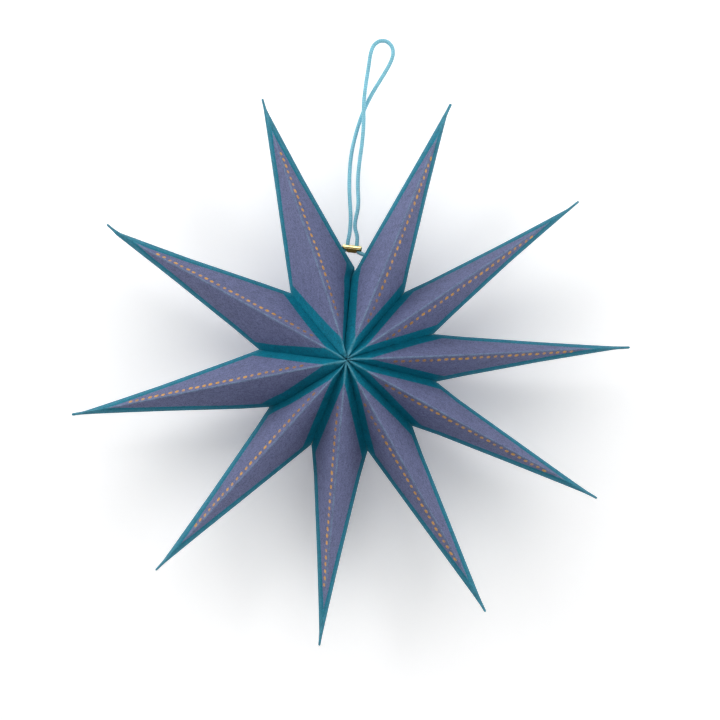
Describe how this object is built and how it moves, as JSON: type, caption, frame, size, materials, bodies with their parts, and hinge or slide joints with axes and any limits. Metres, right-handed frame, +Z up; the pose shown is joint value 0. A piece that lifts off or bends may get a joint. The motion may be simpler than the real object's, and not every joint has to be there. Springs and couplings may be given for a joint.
{
  "type": "folded paper star ornament",
  "caption": "Hanging star of hollow folded paper points glued face to face round a hub, with a cord loop drawn through a small brass clamp.",
  "frame": {"origin": "where a hook bears inside the top of the hanging loop", "axes": "+Z up as it hangs, the star's front looks along -Y, +X to the right seen from the front"},
  "size_m": [0.2935, 0.0692, 0.3215],
  "materials": {
    "dyed_paper": "matte",
    "polished_brass": "polished",
    "knitted_cord": "matte"
  },
  "bodies": {
    "root": {"point_01": "dyed_paper", "point_02": "dyed_paper", "point_03": "dyed_paper", "point_04": "dyed_paper", "point_05": "dyed_paper", "point_06": "dyed_paper", "point_07": "dyed_paper", "point_08": "dyed_paper", "point_09": "dyed_paper", "point_10": "dyed_paper", "brass_clamp": "polished_brass", "hanging_cord": "knitted_cord", "knot_in_first_point": "knitted_cord", "knot_in_last_point": "knitted_cord"}
  },
  "joints": []
}
